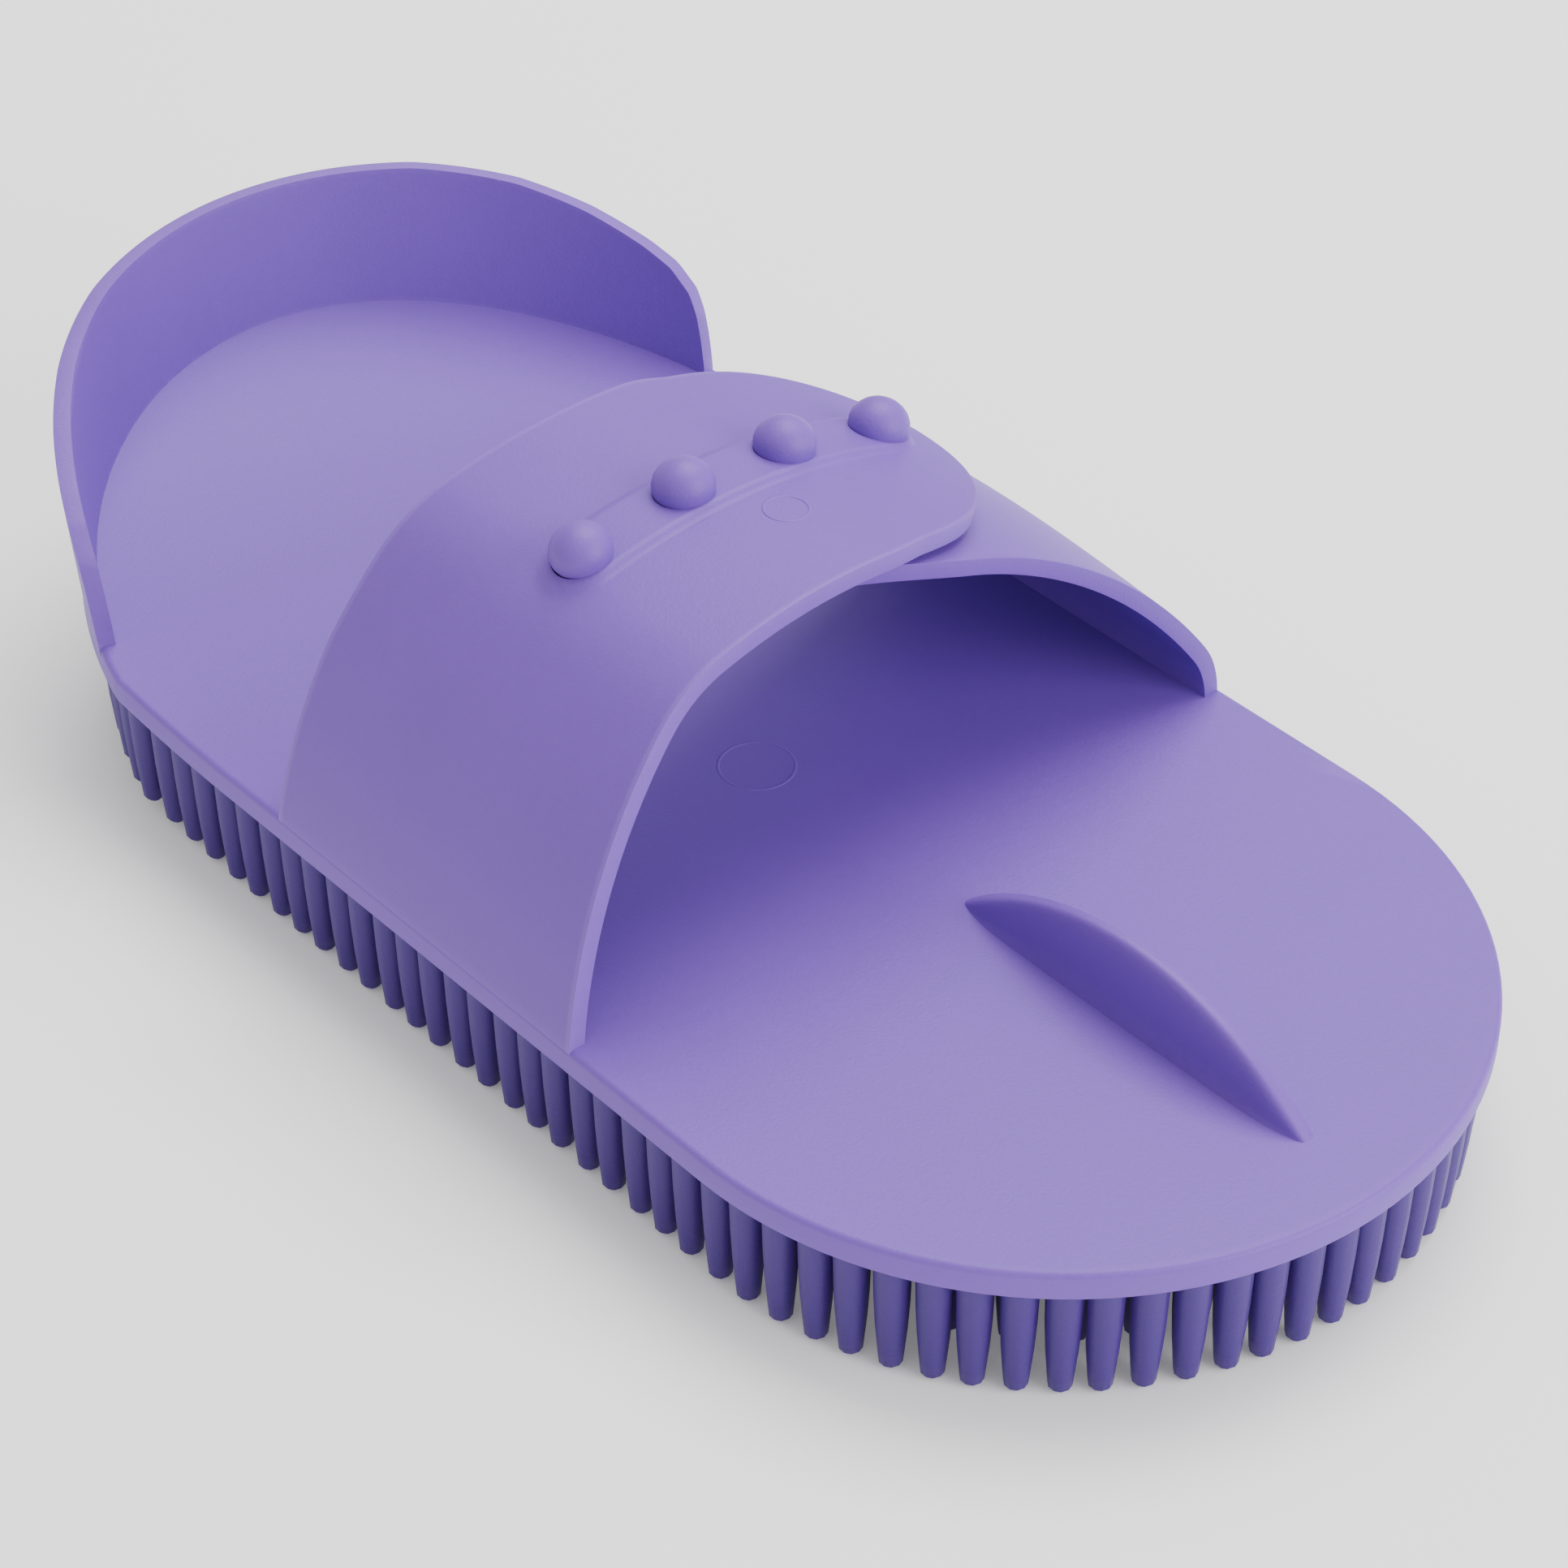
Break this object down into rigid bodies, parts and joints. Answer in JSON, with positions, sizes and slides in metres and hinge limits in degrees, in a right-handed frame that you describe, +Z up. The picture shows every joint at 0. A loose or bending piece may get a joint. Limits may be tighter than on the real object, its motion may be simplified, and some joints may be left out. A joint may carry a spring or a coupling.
{
  "type": "curry comb",
  "caption": "Flexible oval grooming comb for a horse, with rings of teeth underneath, a heel flange, a finger rib and a buttoned hand strap.",
  "frame": {"origin": "middle of the comb's footprint, at the tips of its outer teeth", "axes": "+Z up from the teeth to the palm, +Y towards the heel flange, -Y towards the fingers, -X towards the edge that the strap's over wing is rooted on"},
  "size_m": [0.0932, 0.1906, 0.0587],
  "materials": {
    "pad_plastic": "satin",
    "strap_plastic": "satin",
    "tooth_plastic": "satin"
  },
  "bodies": {
    "pad": {"pad_plate": "pad_plastic", "heel_flange": "pad_plastic", "finger_rib": "pad_plastic", "tooth_ring_1": "tooth_plastic", "tooth_ring_2": "tooth_plastic", "tooth_ring_3": "tooth_plastic", "tooth_ring_4": "tooth_plastic", "tooth_ring_5": "tooth_plastic", "tooth_ring_6": "tooth_plastic", "tooth_ring_7": "tooth_plastic"},
    "over_wing": {"over_strap": "strap_plastic", "hole_strip": "strap_plastic"},
    "under_wing": {"under_strap": "strap_plastic", "stud_1": "strap_plastic", "stud_2": "strap_plastic", "stud_3": "strap_plastic", "stud_4": "strap_plastic"}
  },
  "joints": [
    {"name": "over_strap_hinge", "type": "hinge", "parent": "pad", "child": "over_wing", "pos_m": [-0.0466, -0.0033, 0.018], "axis": [0, 1, 0], "range_deg": [-100, 0], "stiffness_Nm_per_rad": 0.15},
    {"name": "under_strap_hinge", "type": "hinge", "parent": "pad", "child": "under_wing", "pos_m": [0.0466, -0.0033, 0.018], "axis": [0, 1, 0], "range_deg": [0, 15], "stiffness_Nm_per_rad": 0.15}
  ],
  "couplings": [
    {"joint": "under_strap_hinge", "follows": "over_strap_hinge", "ratio": -0.15}
  ]
}
